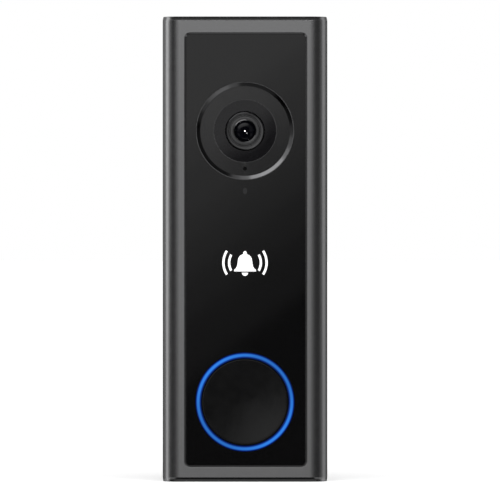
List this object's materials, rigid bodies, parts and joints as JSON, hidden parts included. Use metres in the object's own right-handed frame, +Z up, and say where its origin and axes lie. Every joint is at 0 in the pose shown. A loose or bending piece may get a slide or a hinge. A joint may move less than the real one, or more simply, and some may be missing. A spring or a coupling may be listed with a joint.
{
  "type": "video doorbell",
  "caption": "Slim wired video doorbell: recessed camera in a gloss face, large ring-lit push button, hook-on wall bracket with release latch.",
  "frame": {"origin": "centre of the bracket's back face, on the wall", "axes": "+Z up, +Y into the wall, so the face and button look along -Y; +X is to the right of someone facing the doorbell"},
  "size_m": [0.0432, 0.024, 0.1218],
  "materials": {
    "gunmetal": "satin gunmetal metallic paint",
    "gloss_black": "piano black, polished",
    "satin_black": "satin moulded",
    "matte_black": "fine texture",
    "ir_black": "infrared-passing acrylic, polished",
    "lens_glass": "coated optical glass",
    "ring_blue": "translucent light guide, lit blue",
    "rubber": "matte",
    "silicone": "translucent grey silicone",
    "board_green": "green solder mask on glass-epoxy board",
    "board_black": "black solder mask or moulding compound",
    "steel": "zinc plated",
    "tin_shield": "tin plated sheet",
    "brass": "plain",
    "ferrite": "moulded ferrite, matte",
    "flex_amber": "polyimide film",
    "filter_glass": "infrared-cut coated glass",
    "label_grey": "blank polyester label",
    "tape": "black woven or foamed film"
  },
  "bodies": {
    "bracket": {"wall_bracket": "matte_black"},
    "doorbell": {"front_housing": "gunmetal", "front_panel": "gloss_black", "camera_bezel": "satin_black", "lens_barrel": "satin_black", "lens_holder": "matte_black", "ir_cut_tray": "matte_black", "button_switch": "matte_black", "speaker_frame": "matte_black", "rear_cover": "matte_black", "sync_switch": "matte_black", "ir_window": "ir_black", "lens_front_element": "lens_glass", "button_light_ring": "ring_blue", "mic_boot": "rubber", "antenna_cable": "rubber", "status_light_pipe": "silicone", "button_seal": "silicone", "rear_gasket": "silicone", "sensor_board": "board_green", "antenna_board": "board_green", "button_board": "board_green", "main_pcb": "board_green", "image_sensor": "board_black", "ir_led_board": "board_black", "microphone": "board_black", "camera_screw_left": "steel", "camera_screw_right": "steel", "pcb_screw_left": "steel", "pcb_screw_right": "steel", "heat_spreader": "steel", "speaker_magnet": "steel", "housing_screw_top_left": "steel", "housing_screw_top_right": "steel", "housing_screw_bottom_left": "steel", "housing_screw_bottom_right": "steel", "soc_shield": "tin_shield", "wifi_shield": "tin_shield", "hold_up_capacitor": "tin_shield", "terminal_plate_left": "brass", "terminal_plate_right": "brass", "power_inductor": "ferrite", "camera_flex": "flex_amber", "button_flex": "flex_amber", "rating_label": "label_grey", "panel_tape": "tape", "speaker_mesh": "tape"},
    "latch": {"release_latch": "satin_black"},
    "button": {"button_cap": "gloss_black"},
    "button_switch_plunger": {"button_plunger": "rubber"},
    "sync_key": {"sync_key": "rubber"},
    "sync_switch_plunger": {"sync_plunger": "rubber"},
    "clamp_left": {"terminal_washer_left": "steel"},
    "clamp_right": {"terminal_washer_right": "steel"},
    "screw_left": {"terminal_screw_left": "steel"},
    "screw_right": {"terminal_screw_right": "steel"},
    "filter_shuttle": {"ir_cut_shuttle": "satin_black", "ir_cut_filter": "filter_glass"},
    "speaker_diaphragm": {"speaker_cone": "tape"}
  },
  "joints": [
    {"name": "hook_swing", "type": "hinge", "parent": "bracket", "child": "doorbell", "pos_m": [0, -0.0025, 0.0578], "axis": [-1, 0, 0], "range_deg": [0, 15]},
    {"name": "latch_slide", "type": "slide", "parent": "bracket", "child": "latch", "axis": [0, 0, 1], "range_m": [-0.0013, 0]},
    {"name": "button_press", "type": "slide", "parent": "doorbell", "child": "button", "axis": [0, 1, 0], "range_m": [0, 0.0006], "stiffness_N_per_m": 1500, "springref_m": -0.0005, "deforming": ["button_seal"]},
    {"name": "button_plunger_press", "type": "slide", "parent": "doorbell", "child": "button_switch_plunger", "axis": [0, 1, 0], "range_m": [0, 0.0006]},
    {"name": "sync_press", "type": "slide", "parent": "doorbell", "child": "sync_key", "axis": [0, -1, 0], "range_m": [0, 0.0005], "stiffness_N_per_m": 1200, "springref_m": -0.0004},
    {"name": "sync_plunger_press", "type": "slide", "parent": "doorbell", "child": "sync_switch_plunger", "axis": [0, -1, 0], "range_m": [0, 0.0005]},
    {"name": "clamp_lift_left", "type": "slide", "parent": "doorbell", "child": "clamp_left", "axis": [0, 1, 0], "range_m": [0, 0.0015]},
    {"name": "terminal_turn_left", "type": "hinge", "parent": "clamp_left", "child": "screw_left", "pos_m": [-0.007, -0.0086, -0.022], "axis": [0, 1, 0], "range_deg": [0, 900]},
    {"name": "clamp_lift_right", "type": "slide", "parent": "doorbell", "child": "clamp_right", "axis": [0, 1, 0], "range_m": [0, 0.0015]},
    {"name": "terminal_turn_right", "type": "hinge", "parent": "clamp_right", "child": "screw_right", "pos_m": [0.007, -0.0086, -0.022], "axis": [0, 1, 0], "range_deg": [0, 900]},
    {"name": "filter_shift", "type": "slide", "parent": "doorbell", "child": "filter_shuttle", "axis": [-1, 0, 0], "range_m": [0, 0.0074]},
    {"name": "cone_travel", "type": "slide", "parent": "doorbell", "child": "speaker_diaphragm", "axis": [0, 0, -1], "range_m": [-0.0003, 0.0003], "stiffness_N_per_m": 400}
  ],
  "couplings": [
    {"joint": "button_plunger_press", "follows": "button_press", "ratio": 1},
    {"joint": "sync_plunger_press", "follows": "sync_press", "ratio": 1},
    {"joint": "terminal_turn_left", "follows": "clamp_lift_left", "rad_per_m": 10472},
    {"joint": "terminal_turn_right", "follows": "clamp_lift_right", "rad_per_m": 10472}
  ]
}
